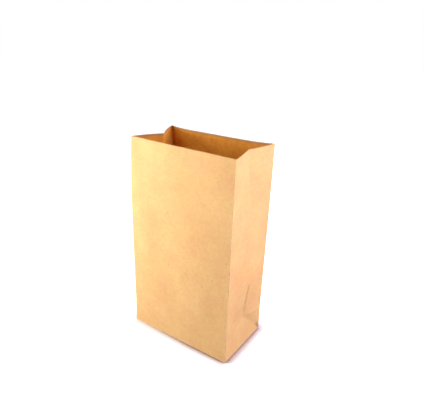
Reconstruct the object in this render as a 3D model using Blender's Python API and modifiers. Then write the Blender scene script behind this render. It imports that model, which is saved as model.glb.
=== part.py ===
"""Brown paper lunch bag, folded and glued from one sheet and standing open on its flat bottom.

X runs along the wide panels, Y through the bag from the front panel to the back one, and Z up.
The origin is the middle of the bottom, on the surface that the bag stands on.
A bag of this kind folds flat with its bottom turned up against the back panel, so that panel has a
cross crease, which runs on into the back half of each gusset.
"""

import math
from dataclasses import dataclass

import bmesh
import bpy
from mathutils import Vector

# Driving dimensions, in metres
BAG_WIDTH = 0.152
BAG_DEPTH = 0.088
BAG_HEIGHT = 0.270
PAPER = 0.0001

# The saw-toothed edge that the knife leaves at the mouth and on the bottom flaps
TOOTH_PITCH = 0.0032
TOOTH_DEPTH = 0.0014

# How far each gusset's middle crease stands in from the flat side at the mouth
LEFT_TUCK = 0.019
RIGHT_TUCK = 0.0098
# How far the middle crease has moved towards the back there, and the back fold has spread outwards
RIGHT_DRIFT = 0.0018
RIGHT_SPREAD = 0.0017
# How far each half of a gusset curves out between its two folds at the mouth
LEFT_HALF_BOW = 0.0025
RIGHT_HALF_BOW = 0.0006

# The foot of a gusset's middle crease, where the diagonal creases meet, and how far it is pushed in
FOOT_RISE = 0.002
FOOT_DENT = 0.0042
# How far each side swells out over the foot, and at what height
LEFT_SWELL = 0.001
RIGHT_SWELL = 0.0035
SWELL_HEIGHT = 0.098

# The cross crease of the back panel, and the ridge that carries it on across a gusset
BACK_CREASE = 0.039
BACK_CREASE_DENT = 0.0015
BACK_CREASE_FADE = 0.060
RIDGE_RELIEF = 0.0010
RIDGE_FADE = 0.016

# The front panel swells out a little, and the back panel curves in towards its mouth
FRONT_SWELL = 0.0015
BACK_BOW = 0.007

# The lengthwise glued seam, on the back panel, and the lap of the two bottom flaps
SEAM_OFFSET = 0.022
SEAM_LAP = 0.012
SEAM_SETBACK = 0.0003
BOTTOM_LAP = 0.016

# How finely the sheet is divided, and the plain strip under the saw teeth that takes their points
FRONT_CELLS = 10
BACK_CELLS = 14
GUSSET_CELLS = 8
SWELL_ROWS = 4
UPPER_ROWS = 8
PINKED_STRIP = 0.005
TOOTH_CLEARANCE = TOOTH_PITCH / 20

HALF_WIDTH = BAG_WIDTH / 2
HALF_DEPTH = BAG_DEPTH / 2
CREASE_FOOT = HALF_DEPTH + FOOT_RISE
FOOT_SHIFT = HALF_DEPTH - math.sqrt(HALF_DEPTH**2 - FOOT_DENT**2)
FLAP_LENGTH = HALF_DEPTH + BOTTOM_LAP / 2
FLAP_INSET = PAPER / 2
GLUE_BITE = PAPER / 5
WALL_FOOT = 1.5 * PAPER

# Distance round the tube from the front left fold, walking to the right along the front panel
FRONT_RIGHT_FOLD = BAG_WIDTH
RIGHT_CREASE = BAG_WIDTH + HALF_DEPTH
BACK_RIGHT_FOLD = BAG_WIDTH + BAG_DEPTH
SEAM_START = BACK_RIGHT_FOLD + HALF_WIDTH + SEAM_OFFSET
SEAM_END = SEAM_START + SEAM_LAP
BACK_LEFT_FOLD = BACK_RIGHT_FOLD + BAG_WIDTH
LEFT_CREASE = BACK_LEFT_FOLD + HALF_DEPTH
PERIMETER = 2 * (BAG_WIDTH + BAG_DEPTH)

FRONT = -1
BACK = 1

# How late in its run each curve of the paper sets in: 1 is even, and more is later
SWELL_EASE = 1.2
TUCK_EASE = 1.6
HALF_BOW_EASE = 2
BACK_BOW_EASE = 1.5
BACK_CREASE_EASE = 2
# How close to its folds the back panel bends, and is nearly flat between them
PANEL_EDGE_EASE = 4

KRAFT_COLOUR = (0.78, 0.50, 0.24, 1.0)
KRAFT_ROUGHNESS = 0.85


@dataclass(frozen=True)
class Gusset:
    """A folding side: which side it is on, and how it has opened."""

    side: int
    tuck: float
    drift: float
    spread: float
    half_bow: float
    swell: float


RIGHT_GUSSET = Gusset(1, RIGHT_TUCK, RIGHT_DRIFT, RIGHT_SPREAD, RIGHT_HALF_BOW, RIGHT_SWELL)
LEFT_GUSSET = Gusset(-1, LEFT_TUCK, 0.0, 0.0, LEFT_HALF_BOW, LEFT_SWELL)


def remove_old_objects():
    for obj in list(bpy.data.objects):
        bpy.data.objects.remove(obj, do_unlink=True)


def new_collection(name):
    collection = bpy.data.collections.new(name)
    bpy.context.scene.collection.children.link(collection)
    return collection


def kraft_paper():
    material = bpy.data.materials.new("kraft_paper")
    material.use_nodes = True
    shader = material.node_tree.nodes["Principled BSDF"]
    shader.inputs["Base Color"].default_value = KRAFT_COLOUR
    shader.inputs["Roughness"].default_value = KRAFT_ROUGHNESS
    shader.inputs["Metallic"].default_value = 0.0
    material.diffuse_color = KRAFT_COLOUR
    return material


def between(start, end, share):
    return start + (end - start) * share


def arch(share):
    """A curve that is 0 at both ends of a run and 1 in its middle."""
    return 4 * share * (1 - share)


def rise(height):
    """The share of the way from the foot of the gussets' creases up to the mouth."""
    return max(0.0, (height - CREASE_FOOT) / (BAG_HEIGHT - CREASE_FOOT))


def crease_depth(gusset, height):
    """How far in from the flat side a gusset's middle crease is, from its foot upwards."""
    if height < SWELL_HEIGHT:
        left = min(1.0, (SWELL_HEIGHT - height) / (SWELL_HEIGHT - CREASE_FOOT))
        return (FOOT_DENT + gusset.swell) * left**SWELL_EASE - gusset.swell
    risen = (height - SWELL_HEIGHT) / (BAG_HEIGHT - SWELL_HEIGHT)
    return (gusset.tuck + gusset.swell) * risen**TUCK_EASE - gusset.swell


def fold_place(gusset, half, height):
    """The X and Y of a gusset's front or back fold. A tuck draws the folds in, as paper doesn't stretch."""
    spread = gusset.spread * rise(height) if half == BACK else 0.0
    if height < CREASE_FOOT:
        reach = HALF_DEPTH - FOOT_SHIFT * height / CREASE_FOOT
    else:
        reach = math.sqrt(HALF_DEPTH**2 - (crease_depth(gusset, height) + spread) ** 2)
    return gusset.side * (HALF_WIDTH + spread), gusset.drift * rise(height) + half * reach


def ridge_height(half, share):
    """The height of a gusset's cross crease, at a share of the way from a fold to the middle crease."""
    start = BACK_CREASE if half == BACK else CREASE_FOOT
    return between(start, CREASE_FOOT, share)


def foot_dent(share, height):
    """How far in the foot of a gusset is: a triangle on the bottom edge, between two diagonal creases."""
    return FOOT_DENT * min(share, height / CREASE_FOOT)


def ridge_relief(half, share, height):
    """How far the cross crease stands out on the back half of a gusset."""
    if half == FRONT:
        return 0.0
    ridge = ridge_height(half, share)
    diagonal = CREASE_FOOT * share
    if height > ridge:
        near = max(0.0, 1 - (height - ridge) / RIDGE_FADE)
    elif height > diagonal:
        near = (height - diagonal) / (ridge - diagonal)
    else:
        near = 0.0
    return RIDGE_RELIEF * arch(share) * near


def gusset_point(gusset, half, from_fold, height):
    """A point of one half of a gusset, at a distance from its corner fold."""
    share = from_fold / HALF_DEPTH
    fold_x, fold_y = fold_place(gusset, half, height)
    crease_x = gusset.side * (HALF_WIDTH - crease_depth(gusset, height))
    crease_y = gusset.drift * rise(height)
    y = between(fold_y, crease_y, share)
    if height <= ridge_height(half, share):
        x = gusset.side * (HALF_WIDTH - foot_dent(share, height))
        drop = 0.0
    else:
        x = between(fold_x, crease_x, share)
        x += gusset.side * gusset.half_bow * (height / BAG_HEIGHT) ** HALF_BOW_EASE * arch(share)
        drop = crease_depth(gusset, height) ** 2 / (2 * height) * share
    x += gusset.side * ridge_relief(half, share, height)
    return Vector((x, y, height - drop))


def front_point(from_left, height):
    share = from_left / BAG_WIDTH
    left_x, left_y = fold_place(LEFT_GUSSET, FRONT, height)
    right_x, right_y = fold_place(RIGHT_GUSSET, FRONT, height)
    swell = FRONT_SWELL * arch(share) * arch(height / BAG_HEIGHT)
    return Vector((between(left_x, right_x, share), between(left_y, right_y, share) - swell, height))


def back_point(from_right, height):
    share = from_right / BAG_WIDTH
    left_x, left_y = fold_place(LEFT_GUSSET, BACK, height)
    right_x, right_y = fold_place(RIGHT_GUSSET, BACK, height)
    across = 1 - abs(2 * share - 1) ** PANEL_EDGE_EASE
    inwards = BACK_BOW * (height / BAG_HEIGHT) ** BACK_BOW_EASE
    if height < BACK_CREASE:
        inwards += BACK_CREASE_DENT * height / BACK_CREASE
    else:
        faded = max(0.0, 1 - (height - BACK_CREASE) / BACK_CREASE_FADE)
        inwards += BACK_CREASE_DENT * faded**BACK_CREASE_EASE
    y = between(right_y, left_y, share) - inwards * across
    return Vector((between(right_x, left_x, share), y, height))


def wall_point(distance, height):
    """The point of the folded tube's outer face at a distance round it and a height up the paper."""
    if distance <= FRONT_RIGHT_FOLD:
        return front_point(distance, height)
    if distance <= RIGHT_CREASE:
        return gusset_point(RIGHT_GUSSET, FRONT, distance - FRONT_RIGHT_FOLD, height)
    if distance <= BACK_RIGHT_FOLD:
        return gusset_point(RIGHT_GUSSET, BACK, BACK_RIGHT_FOLD - distance, height)
    if distance <= BACK_LEFT_FOLD:
        return back_point(distance - BACK_RIGHT_FOLD, height)
    if distance <= LEFT_CREASE:
        return gusset_point(LEFT_GUSSET, BACK, distance - BACK_LEFT_FOLD, height)
    return gusset_point(LEFT_GUSSET, FRONT, PERIMETER - distance, height)


def place_when_flat(distance):
    """Where a point of the tube lies across the flat bag, whose layers the knife cuts with the same teeth."""
    if distance <= FRONT_RIGHT_FOLD:
        return distance - HALF_WIDTH
    if distance <= BACK_RIGHT_FOLD:
        return HALF_WIDTH - HALF_DEPTH + abs(distance - RIGHT_CREASE)
    if distance <= BACK_LEFT_FOLD:
        return HALF_WIDTH - (distance - BACK_RIGHT_FOLD)
    return HALF_DEPTH - HALF_WIDTH - abs(distance - LEFT_CREASE)


def tooth_drop(place):
    """How far below the tips the saw-toothed edge is, at a place along it."""
    return TOOTH_DEPTH * abs(2 * ((place / TOOTH_PITCH) % 1) - 1)


def evenly(start, end, cells):
    return [between(start, end, i / cells) for i in range(cells)]


def column_distances():
    """The distances round the tube of the sheet's columns. Each fold and each edge of the seam has one."""
    before_seam = max(1, round(BACK_CELLS * (SEAM_START - BACK_RIGHT_FOLD) / BAG_WIDTH))
    after_seam = max(1, round(BACK_CELLS * (BACK_LEFT_FOLD - SEAM_END) / BAG_WIDTH))
    return [
        *evenly(0, FRONT_RIGHT_FOLD, FRONT_CELLS),
        *evenly(FRONT_RIGHT_FOLD, BACK_RIGHT_FOLD, 2 * GUSSET_CELLS),
        *evenly(BACK_RIGHT_FOLD, SEAM_START, before_seam),
        SEAM_START,
        *evenly(SEAM_END, BACK_LEFT_FOLD, after_seam),
        *evenly(BACK_LEFT_FOLD, PERIMETER, 2 * GUSSET_CELLS),
    ]


def row_height(distance, row):
    """The height of one of the sheet's rows. The rows of the foot bend to follow its creases."""
    if row > GUSSET_CELLS + SWELL_ROWS:
        share = (row - GUSSET_CELLS - SWELL_ROWS) / UPPER_ROWS
        return between(SWELL_HEIGHT, BAG_HEIGHT - PINKED_STRIP, share)
    half = BACK if RIGHT_CREASE < distance < LEFT_CREASE else FRONT
    nearest_crease = min(abs(distance - RIGHT_CREASE), abs(distance - LEFT_CREASE))
    share = max(0.0, 1 - nearest_crease / HALF_DEPTH)
    ridge = ridge_height(half, share)
    if row > GUSSET_CELLS:
        return between(ridge, SWELL_HEIGHT, (row - GUSSET_CELLS) / SWELL_ROWS)
    diagonal = CREASE_FOOT * share
    diagonal_row = round(share * GUSSET_CELLS)
    if row > diagonal_row:
        return between(diagonal, ridge, (row - diagonal_row) / (GUSSET_CELLS - diagonal_row))
    return max(WALL_FOOT, diagonal * row / max(1, diagonal_row))


def add_cell(bm, low, high, distance, row):
    """One cell of the sheet, split along a diagonal crease where one crosses it."""
    creases = (RIGHT_CREASE, LEFT_CREASE)
    steps = [round((distance - crease) * GUSSET_CELLS / HALF_DEPTH) for crease in creases]
    if row < GUSSET_CELLS and row - GUSSET_CELLS in steps:
        bm.faces.new((low[0], low[1], high[1]))
        bm.faces.new((low[0], high[1], high[0]))
    elif row < GUSSET_CELLS and GUSSET_CELLS - 1 - row in steps:
        bm.faces.new((low[0], low[1], high[0]))
        bm.faces.new((low[1], high[1], high[0]))
    else:
        bm.faces.new((low[0], low[1], high[1], high[0]))


def tooth_distances(start, end):
    """The tips and roots of the teeth between two columns, leaving out any that all but meet a column."""
    half_tooth = TOOTH_PITCH / 2
    first = place_when_flat(start)
    low, high = sorted((first, place_when_flat(end)))
    points = range(math.ceil(low / half_tooth), math.floor(high / half_tooth) + 1)
    gaps = [abs(i * half_tooth - first) for i in points]
    return sorted(start + gap for gap in gaps if TOOTH_CLEARANCE < gap < end - start - TOOTH_CLEARANCE)


def mouth_vertices(bm, distances, setback):
    """Vertices of the saw-toothed edge at these distances round the tube."""
    heights = [BAG_HEIGHT - setback - tooth_drop(place_when_flat(d)) for d in distances]
    return [bm.verts.new(wall_point(d, height)) for d, height in zip(distances, heights)]


def wall_surface(name, columns, closed, setback):
    """The outer face of the tube over these columns, as an open surface up to the saw-toothed mouth."""
    bm = bmesh.new()
    rows = range(GUSSET_CELLS + SWELL_ROWS + UPPER_ROWS + 1)
    rings = [[bm.verts.new(wall_point(d, row_height(d, row))) for d in columns] for row in rows]
    tops = mouth_vertices(bm, columns, setback)
    for i in range(len(columns) if closed else len(columns) - 1):
        j = (i + 1) % len(columns)
        for row, (low, high) in enumerate(zip(rings, rings[1:])):
            add_cell(bm, (low[i], low[j]), (high[i], high[j]), columns[i], row)
        end = columns[j] if j else PERIMETER
        teeth = mouth_vertices(bm, tooth_distances(columns[i], end), setback)
        bm.faces.new((rings[-1][i], rings[-1][j], tops[j], *reversed(teeth), tops[i]))
    mesh = bpy.data.meshes.new(name)
    bm.to_mesh(mesh)
    bm.free()
    return bpy.data.objects.new(name, mesh)


def add_paper_thickness(obj, thickness, offset):
    solidify = obj.modifiers.new("paper_thickness", "SOLIDIFY")
    solidify.thickness = thickness
    solidify.offset = offset
    solidify.use_even_offset = True


def tube(collection):
    obj = wall_surface("paper_bag", column_distances(), True, 0.0)
    collection.objects.link(obj)
    add_paper_thickness(obj, PAPER, -1)
    return obj


def seam_lap(collection):
    """The second layer of paper along the glued seam. Its thickness reaches half way into the wall."""
    obj = wall_surface("seam_lap", [SEAM_START, SEAM_END], False, SEAM_SETBACK)
    collection.objects.link(obj)
    add_paper_thickness(obj, 1.5 * PAPER, 1 / 3)
    return obj


def pinked_edge(start, end, tooth_direction):
    """Points of a saw-toothed edge from start to end, whose teeth point in tooth_direction."""
    run = end - start
    teeth = max(1, round(run.length / TOOTH_PITCH))
    points = [start + run * i / (2 * teeth) for i in range(2 * teeth + 1)]
    return [point + tooth_direction * TOOTH_DEPTH if i % 2 else point for i, point in enumerate(points)]


def flat_layer(name, outline, low, high, collection):
    """A flat layer of paper between two heights: its outline as one face, and its thickness above that."""
    bm = bmesh.new()
    underside = bm.faces.new([bm.verts.new((corner.x, corner.y, low)) for corner in outline])
    underside.normal_update()
    if underside.normal.z > 0:
        underside.normal_flip()
    mesh = bpy.data.meshes.new(name)
    bm.to_mesh(mesh)
    bm.free()
    layer = bpy.data.objects.new(name, mesh)
    collection.objects.link(layer)
    add_paper_thickness(layer, high - low, -1)
    return layer


def wide_flap(name, side, low, high, collection):
    """The front or back bottom flap: a trapezium whose slant sides are the folds at 45 degrees."""
    base_y = side * (HALF_DEPTH - FLAP_INSET)
    end_y = side * (HALF_DEPTH - FLAP_LENGTH)
    base_x = HALF_WIDTH - FLAP_INSET
    end_x = HALF_WIDTH - FLAP_LENGTH
    edge = pinked_edge(Vector((end_x, end_y, 0)), Vector((-end_x, end_y, 0)), Vector((0, side, 0)))
    outline = [Vector((-base_x, base_y, 0)), Vector((base_x, base_y, 0)), *edge]
    return flat_layer(name, outline, low, high, collection)


def side_flap(name, side, low, high, collection):
    """The flap under a gusset, which is folded in first and so lies on the others inside the bag."""
    base_x = side * (HALF_WIDTH - FLAP_INSET)
    end_x = side * (HALF_WIDTH - FLAP_LENGTH)
    half_length = HALF_DEPTH - FLAP_INSET
    start = Vector((end_x, half_length, 0))
    edge = pinked_edge(start, Vector((end_x, -half_length, 0)), Vector((side, 0, 0)))
    outline = [Vector((base_x, -half_length, 0)), Vector((base_x, half_length, 0)), *edge]
    return flat_layer(name, outline, low, high, collection)


def bottom_flaps(collection):
    """The four bottom flaps, one paper thickness above another, each biting a little into the next."""
    return [
        wide_flap("back_flap", BACK, 0.0, 2 * PAPER, collection),
        wide_flap("front_flap", FRONT, PAPER, 2 * PAPER + GLUE_BITE / 2, collection),
        side_flap("left_flap", -1, 2 * PAPER - GLUE_BITE, 3 * PAPER, collection),
        side_flap("right_flap", 1, 2 * PAPER - GLUE_BITE, 3 * PAPER, collection),
    ]


def glue_on(bag, layer):
    union = bag.modifiers.new("glued_" + layer.name, "BOOLEAN")
    union.operation = "UNION"
    union.solver = "EXACT"
    union.object = layer
    layer.hide_render = True
    layer.display_type = "WIRE"


def main():
    remove_old_objects()
    bag_collection = new_collection("paper_lunch_bag")
    layer_collection = new_collection("glued_layers")
    bag = tube(bag_collection)
    bag.data.materials.append(kraft_paper())
    for layer in [*bottom_flaps(layer_collection), seam_lap(layer_collection)]:
        glue_on(bag, layer)


main()
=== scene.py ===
"""Looks of the brown paper lunch bag: its folded sheet and kraft paper, its floor, lamps and camera.

The sheet starts flat, as a grid of cells with its creases scored in, and is then folded up.
Distances run round the tube from the front left fold, to the right along the front panel.
"""

import math
from dataclasses import dataclass

import bmesh
import bpy
from mathutils import Matrix, Vector, noise


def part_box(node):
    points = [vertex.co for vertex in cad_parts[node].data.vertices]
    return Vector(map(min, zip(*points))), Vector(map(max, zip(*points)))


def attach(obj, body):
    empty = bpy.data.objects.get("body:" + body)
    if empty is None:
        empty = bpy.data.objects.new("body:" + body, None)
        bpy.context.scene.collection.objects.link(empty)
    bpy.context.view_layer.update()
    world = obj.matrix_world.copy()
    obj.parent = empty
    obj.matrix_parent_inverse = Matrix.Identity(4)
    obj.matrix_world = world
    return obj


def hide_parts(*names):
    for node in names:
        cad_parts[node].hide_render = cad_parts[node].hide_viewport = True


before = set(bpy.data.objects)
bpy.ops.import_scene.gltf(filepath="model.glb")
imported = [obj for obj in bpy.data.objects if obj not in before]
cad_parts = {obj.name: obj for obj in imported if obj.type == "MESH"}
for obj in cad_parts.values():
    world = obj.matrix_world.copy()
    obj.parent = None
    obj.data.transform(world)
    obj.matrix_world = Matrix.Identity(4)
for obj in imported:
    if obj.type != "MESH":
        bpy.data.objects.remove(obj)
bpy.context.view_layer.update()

# The bag's sizes in metres, as the solid has them
BAG_WIDTH = 0.152
BAG_DEPTH = 0.088
BAG_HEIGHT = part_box("paper_bag")[1].z
PAPER = 0.0001
TOOTH_PITCH = 0.0032
TOOTH_DEPTH = 0.0014
SEAM_OFFSET = 0.022
SEAM_LAP = 0.012
BOTTOM_LAP = 0.016

# The ways that a panel, a half or a flap may face, along X or along Y
LEFT = -1
RIGHT = 1
FRONT = -1
BACK = 1

# The gussets: tuck, drift, spread and bow at the mouth, dent at the foot, and swell over it
LEFT_TUCK = 0.019
RIGHT_TUCK = 0.0098
RIGHT_DRIFT = 0.0018
RIGHT_SPREAD = 0.0017
LEFT_HALF_BOW = 0.0025
RIGHT_HALF_BOW = 0.0006
FOOT_RISE = 0.002
FOOT_DENT = 0.0042
LEFT_SWELL = 0.001
RIGHT_SWELL = 0.0035
SWELL_HEIGHT = 0.098

# Over the foot, each gusset's back half dips late to its crease
HOLLOW_EASE = 5.0
HOLLOW_HEIGHT = 0.034

# The cross crease of the back panel, the ridge that carries it on, and the curve of the wide panels
BACK_CREASE = 0.039
BACK_CREASE_DENT = 0.0015
BACK_CREASE_FADE = 0.060
RIDGE_RELIEF = 0.0010
RIDGE_FADE = 0.016
FRONT_SWELL = 0.0015
BACK_BOW = 0.007

# How late each form comes in along its run, as a power
SWELL_EASE = 1.2
TUCK_EASE = 1.6
HALF_BOW_EASE = 2
BACK_BOW_EASE = 1.5
BACK_CREASE_EASE = 2
PANEL_EDGE_EASE = 4

# Sizes that follow from these
HALF_WIDTH = BAG_WIDTH / 2
HALF_DEPTH = BAG_DEPTH / 2
CREASE_FOOT = HALF_DEPTH + FOOT_RISE
FOOT_SHIFT = HALF_DEPTH - math.sqrt(HALF_DEPTH**2 - FOOT_DENT**2)
FLAP_LENGTH = HALF_DEPTH + BOTTOM_LAP / 2

# Distances round the tube
FRONT_RIGHT_FOLD = BAG_WIDTH
RIGHT_CREASE = BAG_WIDTH + HALF_DEPTH
BACK_RIGHT_FOLD = BAG_WIDTH + BAG_DEPTH
SEAM_START = BACK_RIGHT_FOLD + HALF_WIDTH + SEAM_OFFSET
SEAM_END = SEAM_START + SEAM_LAP
BACK_LEFT_FOLD = BACK_RIGHT_FOLD + BAG_WIDTH
LEFT_CREASE = BACK_LEFT_FOLD + HALF_DEPTH
PERIMETER = 2 * (BAG_WIDTH + BAG_DEPTH)
FOLDS = (0, FRONT_RIGHT_FOLD, RIGHT_CREASE, BACK_RIGHT_FOLD, BACK_LEFT_FOLD, LEFT_CREASE, PERIMETER)
CORNER_FOLDS = (0, FRONT_RIGHT_FOLD, BACK_RIGHT_FOLD, BACK_LEFT_FOLD, PERIMETER)

# The sheet runs once round and laps over itself at the seam, where its end lies outside its start
SHEET_START = SEAM_START - PERIMETER
SHEET_END = SEAM_END
PAPER_GAP = 0.00003
LAP_STEP = PAPER + PAPER_GAP
LAP_RAMP = 0.0015

# How finely the sheet is divided, and half the side of the square grid that it starts as
HALF_GRID = 0.5
FOLD_EDGE = 0.0004
TOOTH_CLEARANCE = 0.0004
FOOT_ROW = 0.002
WALL_ROW = 0.004
FINE_FOOT = CREASE_FOOT + RIDGE_FADE
MOUTH_STRIP = 0.005
FLAP_ROWS = 6

# How near to a fold or crease a point counts as on it, how soon a flap lies flat, and how round folds are
SCORE_SNAP = 0.0002
FLAP_SETTLE = 0.003
FOLD_SOFTNESS = 0.5

# The paper's gentle waves and dimples: heights, waves to a metre, and how far from a fold they are whole
WAVE_HEIGHT = 0.0009
WAVE_ACROSS = 22.0
WAVE_UP = 9.0
WAVE_SLICE = 0
DIMPLE_HEIGHT = 0.00025
DIMPLES = 70.0
DIMPLE_SLICE = 1
WAVE_MARGIN = 0.020

# The right gusset's crease stays folded in over the foot as a groove, and the corner behind it is pinched
GROOVE_START = Vector((RIGHT_CREASE + 0.0008, 0.052))
GROOVE_END = Vector((RIGHT_CREASE + 0.0008, 0.090))
GROOVE_WIDTH = 0.0050
GROOVE_DEPTH = 0.0009
PINCH_START = Vector((BACK_RIGHT_FOLD - 0.0060, 0.0095))
PINCH_END = Vector((BACK_RIGHT_FOLD - 0.0015, 0.0030))
PINCH_WIDTH = 0.0036
PINCH_DEPTH = 0.0016

# Where folds and creases are worn pale, with a painted highlight on them, and how strongly and brokenly both
# show
FOLD_WEAR_AND_HIGHLIGHT = 0.5
CREASE_WEAR_AND_HIGHLIGHT = 0.5
CROSS_WEAR = 0.5
WEAR_AND_HIGHLIGHT_WIDTH = 0.0011
CREASE_WEAR_AND_HIGHLIGHT_WIDTH = 0.0018
CREASE_TOP = 0.064
WEAR_AND_HIGHLIGHT_STRENGTH = 0.10
WEAR_AND_HIGHLIGHT_BREAKS = 0.55

# Where shade is painted on the paper: on the groove, in a faint band below it, and in the pinched corner
SHADE_STROKE_START = Vector((RIGHT_CREASE + 0.0016, 0.064))
SHADE_STROKE_END = Vector((RIGHT_CREASE + 0.0016, 0.093))
SHADE_STROKE_WIDTH = 0.0025
GROOVE_PAINTED_SHADE = 0.75
BAND_START = Vector((RIGHT_CREASE + 0.0034, 0.050))
BAND_WIDTH = 0.0048
BAND_PAINTED_SHADE = 0.20
PINCH_PAINTED_SHADE = 1.0
PAINTED_SHADE_STRENGTH = 0.75

# The painted shade in a band inside the mouth, along the cut rim
RIM_SHADE_BAND = 0.0048
RIM_SHADE_STRENGTH = 0.9

# Noise patterns of the pulp, in cells to a metre, apart from the fibres, whose cells are stretched first
CLOUDS = {"Scale": 22.0, "Detail": 2.0, "Roughness": 0.5}
MOTTLE = {"Scale": 190.0, "Detail": 4.0, "Roughness": 0.75}
GRAIN = {"Scale": 800.0, "Detail": 3.0, "Roughness": 0.6}
HUE_BLOTCHES = {"Scale": 45.0, "Detail": 2.0, "Roughness": 0.6}
FIBRES = {"Scale": 1.0, "Detail": 1.0, "Roughness": 0.5}
NOISE_MIDDLE = 0.5

# How strongly each pattern shows in the paper's tone, hue and bumps
CLOUD_TONE = 0.9
MOTTLE_TONE = 1.5
GRAIN_TONE = 1.3
HUE_CONTRAST = 2.2
GRAIN_BUMP = 0.6
MOTTLE_BUMP = 0.6
FIBRE_BUMP = 0.3
BUMP_STRENGTH = 0.5
BUMP_DISTANCE = 0.00012

# The fibres: their cells to a metre, the degrees that they lean by, and how much of the noise shows
FIBRES_ACROSS = 2600.0
FIBRES_ALONG = 260.0
FIBRE_TURNS = (8, -34, 62)
FIBRE_THRESHOLD = 0.66
FIBRE_CONTRAST = 9.0
FIBRE_STRENGTH = 0.35

# The specks: their cells to a metre, the largest size in a cell, and the share of the cells that have one
SMALL_SPECKS = 330.0
SMALL_SPECK_SIZE = 0.18
SMALL_SPECK_SHARE = 0.25
LARGE_SPECKS = 70.0
LARGE_SPECK_SIZE = 0.09
LARGE_SPECK_SHARE = 0.28
SPECK_SHARPNESS = 25.0
SPECK_STRENGTH = 0.42

# The paper's finish and colours
KRAFT_ROUGHNESS = 0.85
KRAFT_SPECULAR = 0.3
YELLOW_LIGHT = (0.96, 0.625, 0.262)
YELLOW_DARK = (0.82, 0.470, 0.178)
PINK_LIGHT = (0.96, 0.570, 0.266)
PINK_DARK = (0.82, 0.425, 0.180)
KRAFT_SPECK = (0.50, 0.22, 0.07)
KRAFT_FLECK_AND_HIGHLIGHT = (1.0, 0.74, 0.42)
KRAFT_PAINTED_SHADE = (0.46, 0.19, 0.065)
PAINTED_RIM_SHADE = (0.42, 0.25, 0.12, 1.0)

# The shares of the paper's colours that its outside, its inside and its cut edge have
OUTSIDE_TINT = (1.0, 1.0, 1.0)
# The inside's darker, redder shares are painted shade on the same paper
INSIDE_SHADED_TINT = (0.94, 0.68, 0.195)
INSIDE_SHADED_DARK_TINT = (0.75, 0.50, 0.135)
CUT_TINT = (0.60, 0.56, 0.52)

# The view, from the photograph, with its angles in degrees and its lens in millimetres
CAMERA_TARGET = Vector((0.0195, 0.0, 0.1914))
CAMERA_DISTANCE = 0.5507
CAMERA_TURN = 33.68
CAMERA_LIFT = 22.63
CAMERA_ROLL = 1.76
LENS = 37.42
SENSOR_WIDTH = 36.0

# The floor, as the light meets it and as the camera sees it
WHITE = (1.0, 1.0, 1.0, 1.0)
FLOOR_HALF = 4.0
FLOOR_ROUGHNESS = 0.9
FLOOR_SPECULAR = 0.1
FLOOR_COLOUR = (0.22, 0.22, 0.22, 1.0)
FLOOR_SEEN_COLOUR = (0.98, 0.98, 0.98, 1.0)

# The shade on it close to the bag, which is weaker on the left, and where the floor turns white
SHADOW_COLOUR = (0.24, 0.14, 0.20, 1.0)
CONTACT_COLOUR = (0.27, 0.12, 0.06, 1.0)
CONTACT_REACH = 0.011
CONTACT_DEPTH = 2.0
CONTACT_CLOSE = 0.48
CONTACT_FAR = 0.70
SHADOW_LEFT = 0.45
SHADOW_WHOLE = 0.02
SHADOW_REACH = 0.006
WHITE_REACH = 0.036

# The lamps, which all shine at the middle of the bag, and the even light of the room
BAG_MIDDLE = Vector((0.0, 0.0, 0.14))
PLAIN_LIGHT = (1.0, 1.0, 1.0)
KEY_PLACE = Vector((-0.43, -0.37, 0.28))
KEY_SIZE = 0.25
KEY_POWER = 4.25
TOP_PLACE = Vector((-0.22, -0.36, 0.52))
TOP_SIZE = 0.25
TOP_POWER = 0.80
TOP_COLOUR = (1.0, 0.97, 0.80)
SIDE_PLACE = Vector((0.55, 0.02, 0.36))
SIDE_SIZE = 0.35
SIDE_POWER = 3.62
SIDE_COLOUR = (0.92, 0.86, 1.0)
BACK_PLACE = Vector((0.0, 0.8, 0.6))
BACK_SIZE = 0.5
BACK_POWER = 5.0
ROOM_LIGHT = 0.15


@dataclass(frozen=True)
class Gusset:
    """A folding side: the way it faces, and how it has opened."""

    side: int
    tuck: float
    drift: float
    spread: float
    half_bow: float
    swell: float


RIGHT_GUSSET = Gusset(RIGHT, RIGHT_TUCK, RIGHT_DRIFT, RIGHT_SPREAD, RIGHT_HALF_BOW, RIGHT_SWELL)
LEFT_GUSSET = Gusset(LEFT, LEFT_TUCK, 0.0, 0.0, LEFT_HALF_BOW, LEFT_SWELL)


def between(start, end, share):
    """The value at a share of the way from a start to an end."""
    return start + (end - start) * share


def arch(share):
    """A curve that is 0 at both ends of a run and 1 in its middle."""
    return 4 * share * (1 - share)


def ease(share):
    """A share kept between 0 and 1, and eased at both ends."""
    share = min(1.0, max(0.0, share))
    return share * share * (3 - 2 * share)


def rise(height):
    """The share of the way from the foot of the gussets' creases up to the mouth."""
    return max(0.0, (height - CREASE_FOOT) / (BAG_HEIGHT - CREASE_FOOT))


def crease_depth(gusset, height):
    """How far in from the flat side a gusset's middle crease is, from its foot upwards."""
    if height < SWELL_HEIGHT:
        left = min(1.0, (SWELL_HEIGHT - height) / (SWELL_HEIGHT - CREASE_FOOT))
        return (FOOT_DENT + gusset.swell) * left**SWELL_EASE - gusset.swell
    risen = (height - SWELL_HEIGHT) / (BAG_HEIGHT - SWELL_HEIGHT)
    return (gusset.tuck + gusset.swell) * risen**TUCK_EASE - gusset.swell


def fold_place(gusset, half, height):
    """The X and Y of a gusset's front or back fold. A tuck draws the folds in, as paper doesn't stretch."""
    spread = gusset.spread * rise(height) if half == BACK else 0.0
    if height < CREASE_FOOT:
        reach = HALF_DEPTH - FOOT_SHIFT * height / CREASE_FOOT
    else:
        reach = math.sqrt(HALF_DEPTH**2 - (crease_depth(gusset, height) + spread) ** 2)
    return gusset.side * (HALF_WIDTH + spread), gusset.drift * rise(height) + half * reach


def ridge_height(half, share):
    """The height of a gusset's cross crease, at a share of the way from a fold to the middle crease."""
    start = BACK_CREASE if half == BACK else CREASE_FOOT
    return between(start, CREASE_FOOT, share)


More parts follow.
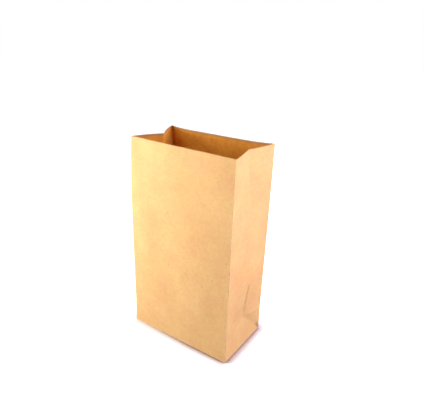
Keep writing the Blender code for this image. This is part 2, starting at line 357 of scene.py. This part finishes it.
def ridge_nearness(half, share, height):
    """1 on the cross crease, 0 down on the diagonal crease, and fading out above the cross crease."""
    ridge = ridge_height(half, share)
    diagonal = CREASE_FOOT * share
    if height <= diagonal:
        return 0.0
    if height <= ridge:
        return (height - diagonal) / (ridge - diagonal)
    return max(0.0, 1 - (height - ridge) / RIDGE_FADE)


def hollow_ease(half, height):
    """How late a half of a gusset dips to its crease. The back half does so sharply, but only low down."""
    if half == FRONT:
        return 1.0
    return between(HOLLOW_EASE, 1.0, ease((height - CREASE_FOOT) / HOLLOW_HEIGHT))


def foot_dent(half, share, height):
    """How far in the foot of a gusset is: a triangle on the bottom edge, between two diagonal creases."""
    diagonal_dent = FOOT_DENT * min(share, height / CREASE_FOOT)
    ridge_dent = FOOT_DENT * share ** hollow_ease(half, CREASE_FOOT)
    return between(diagonal_dent, ridge_dent, ridge_nearness(half, share, height))


def stroke(place, start, end, width):
    """1 on a straight stroke over the flat sheet, fading to 0 at its width."""
    along = (end - start).normalized()
    reach = min(max((place - start).dot(along), 0.0), (end - start).length)
    return ease(1 - (place - start - along * reach).length / width)


def gusset_point(gusset, half, from_fold, height):
    """A point of one half of a gusset, at a distance from its corner fold.

    A crease that leans inwards brings its point down a little, because the paper keeps its length.
    """
    share = from_fold / HALF_DEPTH
    fold_x, fold_y = fold_place(gusset, half, height)
    crease_x = gusset.side * (HALF_WIDTH - crease_depth(gusset, height))
    crease_y = gusset.drift * rise(height)
    y = between(fold_y, crease_y, share)
    if height <= ridge_height(half, share):
        x = gusset.side * (HALF_WIDTH - foot_dent(half, share, height))
        drop = 0.0
    else:
        x = between(fold_x, crease_x, share ** hollow_ease(half, height))
        x += gusset.side * gusset.half_bow * (height / BAG_HEIGHT) ** HALF_BOW_EASE * arch(share)
        drop = crease_depth(gusset, height) ** 2 / (2 * height) * share
    if half == BACK:
        x += gusset.side * RIDGE_RELIEF * arch(share) * ridge_nearness(half, share, height)
    return Vector((x, y, height - drop))


def front_point(from_left, height):
    """A point of the front panel, at a distance from its left fold."""
    share = from_left / BAG_WIDTH
    left_x, left_y = fold_place(LEFT_GUSSET, FRONT, height)
    right_x, right_y = fold_place(RIGHT_GUSSET, FRONT, height)
    swell = FRONT_SWELL * arch(share) * arch(height / BAG_HEIGHT)
    return Vector((between(left_x, right_x, share), between(left_y, right_y, share) - swell, height))


def back_point(from_right, height):
    """A point of the back panel, at a distance from its right fold."""
    share = from_right / BAG_WIDTH
    left_x, left_y = fold_place(LEFT_GUSSET, BACK, height)
    right_x, right_y = fold_place(RIGHT_GUSSET, BACK, height)
    across = 1 - abs(2 * share - 1) ** PANEL_EDGE_EASE
    inwards = BACK_BOW * (height / BAG_HEIGHT) ** BACK_BOW_EASE
    if height < BACK_CREASE:
        inwards += BACK_CREASE_DENT * height / BACK_CREASE
    else:
        faded = max(0.0, 1 - (height - BACK_CREASE) / BACK_CREASE_FADE)
        inwards += BACK_CREASE_DENT * faded**BACK_CREASE_EASE
    y = between(right_y, left_y, share) - inwards * across
    return Vector((between(right_x, left_x, share), y, height))


def wall_point(distance, height):
    """The point of the folded tube's outer face, and the way that its panel faces."""
    if distance <= FRONT_RIGHT_FOLD:
        return front_point(distance, height), Vector((0, FRONT, 0))
    if distance <= RIGHT_CREASE:
        return gusset_point(RIGHT_GUSSET, FRONT, distance - FRONT_RIGHT_FOLD, height), Vector((RIGHT, 0, 0))
    if distance <= BACK_RIGHT_FOLD:
        return gusset_point(RIGHT_GUSSET, BACK, BACK_RIGHT_FOLD - distance, height), Vector((RIGHT, 0, 0))
    if distance <= BACK_LEFT_FOLD:
        return back_point(distance - BACK_RIGHT_FOLD, height), Vector((0, BACK, 0))
    if distance <= LEFT_CREASE:
        return gusset_point(LEFT_GUSSET, BACK, distance - BACK_LEFT_FOLD, height), Vector((LEFT, 0, 0))
    return gusset_point(LEFT_GUSSET, FRONT, PERIMETER - distance, height), Vector((LEFT, 0, 0))


def fold_distance(distance):
    """How far round the tube the nearest fold is."""
    return min(abs(distance - fold) for fold in FOLDS)


def wave(distance, height):
    """How far the paper waves out of its panel's even curve, which fades out at the folds."""
    free = ease(fold_distance(distance) / WAVE_MARGIN) * ease(height / CREASE_FOOT)
    long_wave = noise.noise(Vector((distance * WAVE_ACROSS, height * WAVE_UP, WAVE_SLICE)))
    dimple = noise.noise(Vector((distance * DIMPLES, height * DIMPLES, DIMPLE_SLICE)))
    return free * (WAVE_HEIGHT * long_wave + DIMPLE_HEIGHT * dimple)


def lap_step(distance):
    """How far the sheet's end stands out to pass over its start, along the glued seam."""
    return LAP_STEP * ease((distance - SEAM_START + LAP_RAMP) / LAP_RAMP)


def folded(distance, height):
    """Where a point of the flat sheet comes to lie when the tube is folded and stood up."""
    round_tube = distance % PERIMETER
    point, outwards = wall_point(round_tube, height)
    place = Vector((round_tube, height))
    inwards = GROOVE_DEPTH * stroke(place, GROOVE_START, GROOVE_END, GROOVE_WIDTH)
    inwards += PINCH_DEPTH * stroke(place, PINCH_START, PINCH_END, PINCH_WIDTH)
    return point + outwards * (wave(round_tube, height) + lap_step(distance) - inwards)


def place_when_flat(distance):
    """Where a point of the tube lies across the flat bag, whose layers the knife cuts all at once."""
    if distance <= FRONT_RIGHT_FOLD:
        return distance - HALF_WIDTH
    if distance <= BACK_RIGHT_FOLD:
        return HALF_WIDTH - HALF_DEPTH + abs(distance - RIGHT_CREASE)
    if distance <= BACK_LEFT_FOLD:
        return HALF_WIDTH - (distance - BACK_RIGHT_FOLD)
    return HALF_DEPTH - HALF_WIDTH - abs(distance - LEFT_CREASE)


def tooth_drop(place):
    """How far below the tips the saw-toothed edge is, at a place along it."""
    return TOOTH_DEPTH * abs(2 * ((place / TOOTH_PITCH) % 1) - 1)


def tooth_distances(start, end):
    """Distances of the teeth's tips and roots on one face of the tube."""
    half_tooth = TOOTH_PITCH / 2
    first = place_when_flat(start + SCORE_SNAP) - math.copysign(SCORE_SNAP, place_slope(start))
    last = first + place_slope(start) * (end - start)
    low, high = sorted((first, last))
    numbers = range(math.ceil(low / half_tooth), math.floor(high / half_tooth) + 1)
    return [start + abs(number * half_tooth - first) for number in numbers]


def place_slope(start):
    """1 where the place across the flat bag grows with the distance just past start, or else -1."""
    return math.copysign(1, place_when_flat(start + 2 * SCORE_SNAP) - place_when_flat(start + SCORE_SNAP))


def sheet_columns():
    """Distances of the sheet's columns: both sides of every fold, the seam's edges and the teeth."""
    lines = {SHEET_START, SHEET_END, SHEET_START + SEAM_LAP, SEAM_START, SEAM_START - LAP_RAMP}
    teeth = []
    for turn in (-PERIMETER, 0):
        for start, end in zip(FOLDS, FOLDS[1:]):
            lines.update(turn + start + step for step in (-FOLD_EDGE, 0, FOLD_EDGE))
            teeth += [turn + distance for distance in tooth_distances(start, end)]
    lines = {line for line in lines if SHEET_START <= line <= SHEET_END}
    clear = [tooth for tooth in teeth if min(abs(tooth - line) for line in lines) > TOOTH_CLEARANCE]
    return sorted([*lines, *(tooth for tooth in clear if SHEET_START < tooth < SHEET_END)])


def sheet_rows():
    """Heights of the sheet's rows, finer in the foot, and with two close under the teeth."""
    foot_rows = round(FINE_FOOT / FOOT_ROW)
    top = BAG_HEIGHT - MOUTH_STRIP
    wall_rows = round((top - FINE_FOOT) / WALL_ROW)
    foot = [between(0, FINE_FOOT, row / foot_rows) for row in range(1, foot_rows)]
    wall = [between(FINE_FOOT, top, row / wall_rows) for row in range(wall_rows + 1)]
    return sorted([0, FOLD_EDGE, BACK_CREASE, *foot, *wall, BAG_HEIGHT - MOUTH_STRIP / 2, BAG_HEIGHT])


def flat_sheet():
    """The flat sheet as a grid of cells, with X as the distance round the tube and Y as the height."""
    columns = sheet_columns()
    rows = sheet_rows()
    bm = bmesh.new()
    across = len(columns) - 1
    up = len(rows) - 1
    bmesh.ops.create_grid(bm, x_segments=across, y_segments=up, size=HALF_GRID)
    for vert in bm.verts:
        distance = columns[round((vert.co.x + HALF_GRID) * across)]
        height = rows[round((vert.co.y + HALF_GRID) * up)]
        if height == BAG_HEIGHT:
            height -= tooth_drop(place_when_flat(distance % PERIMETER))
        vert.co = Vector((distance, height, 0))
    return bm


def score(bm, start, end):
    """Cuts the flat sheet's cells along a straight crease, which gives the fold an edge to bend on."""
    left, right = sorted((start.x, end.x))
    low, high = sorted((start.y, end.y))
    cells = []
    for face in bm.faces:
        centre = face.calc_center_median()
        if left < centre.x < right and low - FOOT_ROW < centre.y < high + FOOT_ROW:
            cells.append(face)
    edges = {edge for cell in cells for edge in cell.edges}
    verts = {vert for cell in cells for vert in cell.verts}
    across = Vector((start.y - end.y, end.x - start.x, 0))
    bmesh.ops.bisect_plane(
        bm, geom=[*verts, *edges, *cells], dist=SCORE_SNAP, plane_co=start, plane_no=across
    )


def score_foot(bm, crease):
    """The creases in the foot of one gusset: two diagonals, and the ridge on its back half."""
    apex = Vector((crease, CREASE_FOOT, 0))
    for fold in (crease - HALF_DEPTH, crease + HALF_DEPTH):
        score(bm, Vector((fold, 0, 0)), apex)
    back_fold = crease + HALF_DEPTH if crease == RIGHT_CREASE else crease - HALF_DEPTH
    score(bm, Vector((back_fold, BACK_CREASE, 0)), apex)


@dataclass(frozen=True)
class Flap:
    """A bottom flap: the stretch of sheet that it hangs on, the way it folds in, and its layer."""

    start: float
    end: float
    inwards: Vector
    layer: int


# Layer 0 lies on the floor, and the side flaps, which are folded in first, lie on top inside
FLAPS = (
    Flap(BACK_RIGHT_FOLD, SHEET_END, Vector((0, FRONT, 0)), 0),
    Flap(SHEET_START, BACK_LEFT_FOLD - PERIMETER, Vector((0, FRONT, 0)), 1),
    Flap(0, FRONT_RIGHT_FOLD, Vector((0, BACK, 0)), 2),
    Flap(FRONT_RIGHT_FOLD, BACK_RIGHT_FOLD, Vector((LEFT, 0, 0)), 3),
    Flap(BACK_LEFT_FOLD - PERIMETER, 0, Vector((RIGHT, 0, 0)), 3),
)


def bottom_edges(bm, place, flap):
    """The edges of the tube's bottom that a flap hangs on."""
    low = flap.start - SCORE_SNAP
    high = flap.end + SCORE_SNAP
    return [
        edge for edge in bm.edges
        if all(vert[place].y == 0 and low < vert[place].x < high for vert in edge.verts)
    ]


def flap_point(flap, distance, reach, toothed):
    """A point of a bottom flap. The wide flaps narrow at 45 degrees, as their corners are folded in."""
    base = wall_point(distance % PERIMETER, 0)[0]
    lift = flap.layer * LAP_STEP * ease(reach / FLAP_SETTLE)
    if flap.inwards.x:
        depth = reach - (tooth_drop(base.y) if toothed else 0)
        return Vector((base.x + flap.inwards.x * depth, base.y, lift))
    x = base.x * (1 - reach / HALF_WIDTH)
    depth = reach - (tooth_drop(x) if toothed else 0)
    return Vector((x, base.y + flap.inwards.y * depth, lift))


def fold_under(bm, place, flap):
    """Folds one bottom flap inwards, row by row, up to its saw-toothed end."""
    edges = bottom_edges(bm, place, flap)
    plain_end = FLAP_LENGTH - MOUTH_STRIP
    rows = [between(FLAP_SETTLE, plain_end, row / FLAP_ROWS) for row in range(FLAP_ROWS + 1)]
    for reach in (FOLD_EDGE, *rows, FLAP_LENGTH):
        made = bmesh.ops.extrude_edge_only(bm, edges=edges)["geom"]
        verts = {item for item in made if isinstance(item, bmesh.types.BMVert)}
        made_edges = [item for item in made if isinstance(item, bmesh.types.BMEdge)]
        edges = [edge for edge in made_edges if verts.issuperset(edge.verts)]
        for vert in verts:
            vert.co = flap_point(flap, vert[place].x, reach, reach == FLAP_LENGTH)
            vert[place] = Vector((vert[place].x, -reach, 0))


def wear_and_highlight_mask(place):
    """Pale wear and painted highlight: on the corner folds, the bottom edge and the creases over the foot.
    """
    corner = min(abs(place.x - fold) for fold in CORNER_FOLDS)
    wear_and_highlight = FOLD_WEAR_AND_HIGHLIGHT * ease(1 - corner / WEAR_AND_HIGHLIGHT_WIDTH)
    wear_and_highlight = max(wear_and_highlight, ease(1 - abs(place.y) / WEAR_AND_HIGHLIGHT_WIDTH))
    right_end = Vector((BACK_RIGHT_FOLD, BACK_CREASE))
    left_end = Vector((BACK_LEFT_FOLD, BACK_CREASE))
    wear_and_highlight = max(wear_and_highlight, CROSS_WEAR * stroke(place, right_end, left_end, CREASE_WEAR_AND_HIGHLIGHT_WIDTH))
    for crease, cross_end in ((RIGHT_CREASE, right_end), (LEFT_CREASE, left_end)):
        apex = Vector((crease, CREASE_FOOT))
        wear_and_highlight = max(wear_and_highlight, stroke(place, apex, cross_end, CREASE_WEAR_AND_HIGHLIGHT_WIDTH))
        wear_and_highlight = max(wear_and_highlight, CREASE_WEAR_AND_HIGHLIGHT * stroke(place, apex, Vector((crease, CREASE_TOP)), CREASE_WEAR_AND_HIGHLIGHT_WIDTH))
    return wear_and_highlight


def painted_crease_shade(place):
    """How much shade is painted on the paper: on the groove, in the band below it and in the pinched corner.
    """
    painted_shade = GROOVE_PAINTED_SHADE * stroke(place, SHADE_STROKE_START, SHADE_STROKE_END, SHADE_STROKE_WIDTH)
    painted_shade = max(painted_shade, BAND_PAINTED_SHADE * stroke(place, BAND_START, SHADE_STROKE_START, BAND_WIDTH))
    return max(painted_shade, PINCH_PAINTED_SHADE * stroke(place, PINCH_START, PINCH_END, PINCH_WIDTH))


def rim_shade_mask(place):
    """How near the paper is to its cut rim, where the inside has a band of painted shade."""
    return ease((place.y - BAG_HEIGHT + RIM_SHADE_BAND) / (RIM_SHADE_BAND - TOOTH_DEPTH))


def soften_folds(bm, place):
    """Rounds the paper over its folds."""
    near = [
        vert for vert in bm.verts
        if vert[place].y < BAG_HEIGHT - MOUTH_STRIP
        and (abs(vert[place].y) < SCORE_SNAP or fold_distance(vert[place].x % PERIMETER) < SCORE_SNAP)
    ]
    axes = {"use_axis_x": True, "use_axis_y": True, "use_axis_z": True}
    bmesh.ops.smooth_vert(bm, verts=near, factor=FOLD_SOFTNESS, **axes)


def linked_object(name, bm, materials):
    """The object that a finished bmesh becomes, in the scene and with its materials."""
    mesh = bpy.data.meshes.new(name)
    bm.to_mesh(mesh)
    bm.free()
    for material in materials:
        mesh.materials.append(material)
    made = bpy.data.objects.new(name, mesh)
    bpy.context.scene.collection.objects.link(made)
    return made


def mark_paper(bm, place):
    """Writes down the wear and painted highlight, the painted shade and the rim's nearness, for the
    materials.
    """
    for name, mask in (("wear_and_painted_highlight", wear_and_highlight_mask), ("crease_shade", painted_crease_shade), ("rim_painted_shade", rim_shade_mask)):
        layer = bm.verts.layers.float.new(name)
        for vert in bm.verts:
            vert[layer] = mask(Vector((vert[place].x % PERIMETER, vert[place].y)))


def map_sheet(bm, place):
    """Shades the paper smoothly, and maps it as it lay flat, in metres."""
    uv_map = bm.loops.layers.uv.new("sheet")
    for face in bm.faces:
        face.smooth = True
        for loop in face.loops:
            loop[uv_map].uv = loop.vert[place].xy


def thicken(sheet):
    """Gives the sheet its thickness inwards, and lets its flat parts set its shading.

    Its inside and its cut edge take the materials after its outside's.
    """
    solidify = sheet.modifiers.new("paper_thickness", "SOLIDIFY")
    solidify.thickness = PAPER
    solidify.offset = -1
    solidify.use_even_offset = True
    solidify.material_offset = 1
    solidify.material_offset_rim = 2
    sheet.modifiers.new("flat_shading_weight", "WEIGHTED_NORMAL")


def paper_sheet(materials):
    """The whole bag: one sheet, folded up, with its seam lapped and its bottom flaps turned under."""
    bm = flat_sheet()
    for crease in (RIGHT_CREASE, LEFT_CREASE - PERIMETER):
        score_foot(bm, crease)
    place = bm.verts.layers.float_vector.new("sheet_place")
    for vert in bm.verts:
        vert[place] = vert.co
        vert.co = folded(vert.co.x, vert.co.y)
    for flap in FLAPS:
        fold_under(bm, place, flap)
    soften_folds(bm, place)
    mark_paper(bm, place)
    map_sheet(bm, place)
    sheet = linked_object("paper_sheet", bm, materials)
    thicken(sheet)
    return sheet


def feed(tree, socket, value):
    """Links an output to a socket, or sets the socket's own value."""
    if isinstance(value, bpy.types.NodeSocket):
        tree.links.new(value, socket)
    else:
        socket.default_value = value


def add_node(tree, kind, label, **values):
    """A node with its label, and with inputs fed by their names, where _ stands for a space."""
    node = tree.nodes.new(kind)
    node.label = label
    for name, value in values.items():
        feed(tree, node.inputs[name.replace("_", " ")], value)
    return node


def operation_node(tree, kind, operation, label, values):
    """A node that works out one operation on its values or outputs, in the order of its inputs."""
    node = add_node(tree, kind, label)
    node.operation = operation
    for socket, value in zip(node.inputs, values):
        feed(tree, socket, value)
    return node


def math_node(tree, operation, label, *values):
    """The result of an operation on up to three numbers."""
    return operation_node(tree, "ShaderNodeMath", operation, label, values).outputs["Value"]


def vector_node(tree, operation, label, *values):
    """The result of an operation on up to three vectors: a vector, or for LENGTH a number."""
    node = operation_node(tree, "ShaderNodeVectorMath", operation, label, values)
    return node.outputs["Value" if operation == "LENGTH" else "Vector"]


def map_range(tree, label, value, start, end, low=0.0, high=1.0):
    """A value carried over evenly from one range to another, and kept within it."""
    ranges = {"From_Min": start, "From_Max": end, "To_Min": low, "To_Max": high}
    return add_node(tree, "ShaderNodeMapRange", label, Value=value, **ranges).outputs["Result"]


def noise_node(tree, label, vector, pattern):
    """The value of one of the noise patterns over a vector."""
    return add_node(tree, "ShaderNodeTexNoise", label, Vector=vector, **pattern).outputs["Fac"]


def weighted_sum(tree, label, start, *terms):
    """A number plus each socket times its weight."""
    total = start
    for value, weight in terms:
        total = math_node(tree, "MULTIPLY_ADD", label, value, weight, total)
    return total


def kept_to_one(tree, label, value):
    """A value kept between 0 and 1."""
    above = math_node(tree, "MAXIMUM", label, value, 0.0)
    return math_node(tree, "MINIMUM", label, above, 1.0)


def summed_patterns(tree, label, *patterns):
    """Noise patterns added up at their strengths, round their middle value, and kept between 0 and 1."""
    start = NOISE_MIDDLE - NOISE_MIDDLE * sum(strength for _, strength in patterns)
    return kept_to_one(tree, label, weighted_sum(tree, label, start, *patterns))


def fibre_streaks(tree, vector, turn):
    """Thin fibres that all lean one way, as a mask."""
    lean = {"Rotation": (0, 0, math.radians(turn)), "Scale": (FIBRES_ACROSS, FIBRES_ALONG, 1)}
    mapping = add_node(tree, "ShaderNodeMapping", "fibre direction", Vector=vector, **lean)
    value = noise_node(tree, "fibres", mapping.outputs["Vector"], FIBRES)
    over = weighted_sum(tree, "fibres", -FIBRE_CONTRAST * FIBRE_THRESHOLD, (value, FIBRE_CONTRAST))
    return kept_to_one(tree, "fibres", over)


def speck_mask(tree, label, vector, scale, size, share):
    """Small round specks, in a share of the cells of a loose pattern."""
    cells = tree.nodes.new("ShaderNodeTexVoronoi")
    cells.label = label
    cells.voronoi_dimensions = "2D"
    feed(tree, cells.inputs["Vector"], vector)
    feed(tree, cells.inputs["Scale"], scale)
    cell = add_node(tree, "ShaderNodeSeparateColor", label, Color=cells.outputs["Color"])
    has_speck = math_node(tree, "LESS_THAN", label, cell.outputs["Red"], share)
    radius = math_node(tree, "MULTIPLY", label, cell.outputs["Green"], size)
    inside = math_node(tree, "SUBTRACT", label, radius, cells.outputs["Distance"])
    sharp = math_node(tree, "MULTIPLY", label, inside, SPECK_SHARPNESS)
    return math_node(tree, "MULTIPLY", label, kept_to_one(tree, label, sharp), has_speck)


def pulp_group():
    """The look of rough pulp: its cloudy tone and hue, its dark specks, its pale fibres and its bumps."""
    tree = bpy.data.node_groups.new("kraft_pulp", "ShaderNodeTree")
    tree.interface.new_socket("Sheet", in_out="INPUT", socket_type="NodeSocketVector")
    for name in ("Tone", "Hue", "Specks", "Fibres", "Height"):
        tree.interface.new_socket(name, in_out="OUTPUT", socket_type="NodeSocketFloat")
    sheet = tree.nodes.new("NodeGroupInput").outputs["Sheet"]
    clouds = noise_node(tree, "clouds", sheet, CLOUDS)
    blotches = noise_node(tree, "hue blotches", sheet, HUE_BLOTCHES)
    mottle = noise_node(tree, "mottle", sheet, MOTTLE)
    grain = noise_node(tree, "grain", sheet, GRAIN)
    fibres = 0.0
    for turn in FIBRE_TURNS:
        fibres = math_node(tree, "MAXIMUM", "all fibres", fibre_streaks(tree, sheet, turn), fibres)
    small = speck_mask(tree, "small specks", sheet, SMALL_SPECKS, SMALL_SPECK_SIZE, SMALL_SPECK_SHARE)
    large = speck_mask(tree, "large specks", sheet, LARGE_SPECKS, LARGE_SPECK_SIZE, LARGE_SPECK_SHARE)
    tones = ((clouds, CLOUD_TONE), (mottle, MOTTLE_TONE), (grain, GRAIN_TONE))
    bumps = ((grain, GRAIN_BUMP), (mottle, MOTTLE_BUMP), (fibres, FIBRE_BUMP))
    add_node(
        tree, "NodeGroupOutput", "pulp",
        Tone=summed_patterns(tree, "tone", *tones),
        Hue=summed_patterns(tree, "hue", (blotches, HUE_CONTRAST)),
        Specks=math_node(tree, "MAXIMUM", "specks", small, large),
        Fibres=fibres,
        Height=weighted_sum(tree, "bumps", 0.0, *bumps),
    )
    return tree


def mix_colour(tree, label, mask, first, second):
    """A mix of two colours by a mask, where each may be a colour or a socket."""
    node = tree.nodes.new("ShaderNodeMix")
    node.data_type = "RGBA"
    node.label = label
    feed(tree, node.inputs["Factor"], mask)
    colour_inputs = (socket for socket in node.inputs if socket.type == "RGBA")
    for socket, value in zip(colour_inputs, (first, second)):
        feed(tree, socket, value)
    return next(socket for socket in node.outputs if socket.type == "RGBA")


def sheet_mask(tree, name, strength):
    """One of the sheet's own masks, at a strength."""
    mask = tree.nodes.new("ShaderNodeAttribute")
    mask.attribute_name = name
    return math_node(tree, "MULTIPLY", name, mask.outputs["Fac"], strength)


def tinted(colour, tint):
    """A colour with each of its channels at the tint's share, and opaque."""
    return [channel * share for channel, share in zip(colour, tint)] + [1.0]


def new_material(name, roughness, specular):
    """A new material and its shader, with an even roughness and gloss."""
    material = bpy.data.materials.new(name)
    material.use_nodes = True
    shader = material.node_tree.nodes["Principled BSDF"]
    shader.inputs["Roughness"].default_value = roughness
    shader.inputs["Specular IOR Level"].default_value = specular
    return material, shader


def kraft_colour(tree, pulp, tint, dark_tint):
    """The paper's colour: two-hued pulp, fibres, specks, wear with painted highlights and painted shade."""
    yellows = (tinted(YELLOW_DARK, dark_tint), tinted(YELLOW_LIGHT, tint))
    pinks = (tinted(PINK_DARK, dark_tint), tinted(PINK_LIGHT, tint))
    yellow = mix_colour(tree, "yellow pulp", pulp["Tone"], *yellows)
    pink = mix_colour(tree, "pink pulp", pulp["Tone"], *pinks)
    colour = mix_colour(tree, "hue", pulp["Hue"], pink, yellow)
    fibres = math_node(tree, "MULTIPLY", "pale fibres", pulp["Fibres"], FIBRE_STRENGTH)
    specks = math_node(tree, "MULTIPLY", "specks", pulp["Specks"], SPECK_STRENGTH)
    broken_wear_and_highlight = weighted_sum(tree, "broken wear and highlight", WEAR_AND_HIGHLIGHT_STRENGTH, (pulp["Tone"], WEAR_AND_HIGHLIGHT_BREAKS))
    marks = (
        ("pale fibres", fibres, KRAFT_FLECK_AND_HIGHLIGHT),
        ("specks", specks, KRAFT_SPECK),
        # worn folds, which also carry a painted highlight on the folds and creases
        ("worn folds and painted highlights", sheet_mask(tree, "wear_and_painted_highlight", broken_wear_and_highlight), KRAFT_FLECK_AND_HIGHLIGHT),
        # painted shade in the groove, the band below it and the pinched corner
        ("painted_shade", sheet_mask(tree, "crease_shade", PAINTED_SHADE_STRENGTH), KRAFT_PAINTED_SHADE),
    )
    for label, mask, over in marks:
        colour = mix_colour(tree, label, mask, colour, tinted(over, tint))
    return colour


def kraft_material(name, pulp, tint, dark_tint, rim_shade_strength=0.0):
    """Brown kraft paper, whose tints are the shares of the outside's light and dark colours that it has."""
    material, shader = new_material(name, KRAFT_ROUGHNESS, KRAFT_SPECULAR)
    tree = material.node_tree
    sheet = tree.nodes.new("ShaderNodeUVMap")
    sheet.uv_map = "sheet"
    group = tree.nodes.new("ShaderNodeGroup")
    group.node_tree = pulp
    feed(tree, group.inputs["Sheet"], sheet.outputs["UV"])
    colour = kraft_colour(tree, group.outputs, tint, dark_tint)
    # the inside's band along the rim is painted shade
    if rim_shade_strength:
        colour = mix_colour(tree, "rim_painted_shade", sheet_mask(tree, "rim_painted_shade", rim_shade_strength), colour, PAINTED_RIM_SHADE)
    feed(tree, shader.inputs["Base Color"], colour)
    bump = add_node(tree, "ShaderNodeBump", "pulp bumps", Strength=BUMP_STRENGTH, Distance=BUMP_DISTANCE)
    feed(tree, bump.inputs["Height"], group.outputs["Height"])
    feed(tree, shader.inputs["Normal"], bump.outputs["Normal"])
    return material


def seen_floor_colour(tree, place):
    """White, with a soft purple shade near the bag and a brown one close at its edge, weaker on the left."""
    openness = add_node(tree, "ShaderNodeAmbientOcclusion", "openness", Distance=CONTACT_REACH).outputs["AO"]
    lit = math_node(tree, "POWER", "soft shadow", openness, CONTACT_DEPTH)
    soft = mix_colour(tree, "soft shadow", lit, SHADOW_COLOUR, FLOOR_SEEN_COLOUR)
    away = map_range(tree, "away from the edge", openness, CONTACT_CLOSE, CONTACT_FAR)
    shaded = mix_colour(tree, "contact shadow", away, CONTACT_COLOUR, soft)
    across = add_node(tree, "ShaderNodeSeparateXYZ", "across the floor", Vector=place).outputs["X"]
    kept = map_range(tree, "weaker on the left", across, -HALF_WIDTH, SHADOW_WHOLE, SHADOW_LEFT)
    return mix_colour(tree, "shadow", kept, FLOOR_SEEN_COLOUR, shaded)


def distance_from_bag(tree, place):
    """How far a point of the floor is out from the bag's sides."""
    centred = vector_node(tree, "ABSOLUTE", "either side of the bag", place)
    outside = vector_node(tree, "SUBTRACT", "out from its sides", centred, (HALF_WIDTH, HALF_DEPTH, 0))
    outside = vector_node(tree, "MAXIMUM", "out from its sides", outside, (0, 0, 0))
    return vector_node(tree, "LENGTH", "out from its sides", outside)


def floor_material():
    """Grey to the light and white to the camera, for which it glows a little way out from the bag."""
    material, shader = new_material("white_floor", FLOOR_ROUGHNESS, FLOOR_SPECULAR)
    tree = material.node_tree
    seen = tree.nodes.new("ShaderNodeLightPath").outputs["Is Camera Ray"]
    place = tree.nodes.new("ShaderNodeTexCoord").outputs["Object"]
    colour = mix_colour(tree, "white for the camera", seen, FLOOR_COLOUR, seen_floor_colour(tree, place))
    far = map_range(tree, "far from the bag", distance_from_bag(tree, place), SHADOW_REACH, WHITE_REACH)
    glow = math_node(tree, "MULTIPLY", "glow for the camera", seen, far)
    shader.inputs["Emission Color"].default_value = WHITE
    feed(tree, shader.inputs["Base Color"], colour)
    feed(tree, shader.inputs["Emission Strength"], glow)
    return material


def floor():
    """A plain floor, which keeps the bag's shadow."""
    bm = bmesh.new()
    bmesh.ops.create_grid(bm, x_segments=1, y_segments=1, size=FLOOR_HALF)
    plane = linked_object("floor", bm, [floor_material()])


def white_world():
    """Even white light from all round, which the camera sees as plain white."""
    world = bpy.data.worlds.new("white_room")
    bpy.context.scene.world = world
    world.use_nodes = True
    tree = world.node_tree
    light = tree.nodes["Background"]
    light.inputs["Color"].default_value = WHITE
    path = tree.nodes.new("ShaderNodeLightPath")
    seen = math_node(tree, "MAXIMUM", "seen", path.outputs["Is Camera Ray"], path.outputs["Is Glossy Ray"])
    seen = math_node(tree, "MAXIMUM", "seen", seen, path.outputs["Is Transmission Ray"])
    strength = math_node(tree, "MULTIPLY_ADD", "room light", seen, 1 - ROOM_LIGHT, ROOM_LIGHT)
    feed(tree, light.inputs["Strength"], strength)


def soft_lamp(name, place, size, power, colour):
    """A square soft lamp at a place, turned to shine at the middle of the bag."""
    light = bpy.data.lights.new(name, "AREA")
    light.size = size
    light.energy = power
    light.color = colour
    lamp = bpy.data.objects.new(name, light)
    turned = (BAG_MIDDLE - place).to_track_quat("-Z", "Y").to_matrix().to_4x4()
    lamp.matrix_world = Matrix.Translation(place) @ turned
    bpy.context.scene.collection.objects.link(lamp)


def camera():
    """The photograph's view of the bag, for a picture 424 pixels wide and 407 high."""
    data = bpy.data.cameras.new("camera")
    data.lens = LENS
    data.sensor_width = SENSOR_WIDTH
    view = bpy.data.objects.new("camera", data)
    turn, lift, roll = (math.radians(angle) for angle in (CAMERA_TURN, CAMERA_LIFT, CAMERA_ROLL))
    back = Vector((math.sin(turn) * math.cos(lift), -math.cos(turn) * math.cos(lift), math.sin(lift)))
    right = Vector((0, 0, 1)).cross(back).normalized()
    up = back.cross(right)
    rolled_right = math.cos(roll) * right + math.sin(roll) * up
    rolled_up = -math.sin(roll) * right + math.cos(roll) * up
    turned = Matrix((rolled_right, rolled_up, back)).transposed().to_4x4()
    view.matrix_world = Matrix.Translation(CAMERA_TARGET + back * CAMERA_DISTANCE) @ turned
    bpy.context.scene.collection.objects.link(view)
    bpy.context.scene.camera = view


def lamps():
    """The key lamp at the front left, one above it, one at the right and one behind the bag."""
    soft_lamp("key", KEY_PLACE, KEY_SIZE, KEY_POWER, PLAIN_LIGHT)
    soft_lamp("top", TOP_PLACE, TOP_SIZE, TOP_POWER, TOP_COLOUR)
    soft_lamp("side", SIDE_PLACE, SIDE_SIZE, SIDE_POWER, SIDE_COLOUR)
    soft_lamp("back", BACK_PLACE, BACK_SIZE, BACK_POWER, PLAIN_LIGHT)


def main():
    """Makes the view, the bag, its floor and its light."""
    camera()
    bpy.context.scene.view_settings.view_transform = "Standard"
    pulp = pulp_group()
    materials = [
        kraft_material("kraft_outside", pulp, OUTSIDE_TINT, OUTSIDE_TINT),
        # The inside is the same paper with painted shade, and a painted shade band along its rim
        kraft_material("kraft_inside_shaded", pulp, INSIDE_SHADED_TINT, INSIDE_SHADED_DARK_TINT, RIM_SHADE_STRENGTH),
        kraft_material("kraft_cut_edge", pulp, CUT_TINT, CUT_TINT),
    ]
    sheet = paper_sheet(materials)
    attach(sheet, "root")
    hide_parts("paper_bag")
    floor()
    white_world()
    lamps()


main()
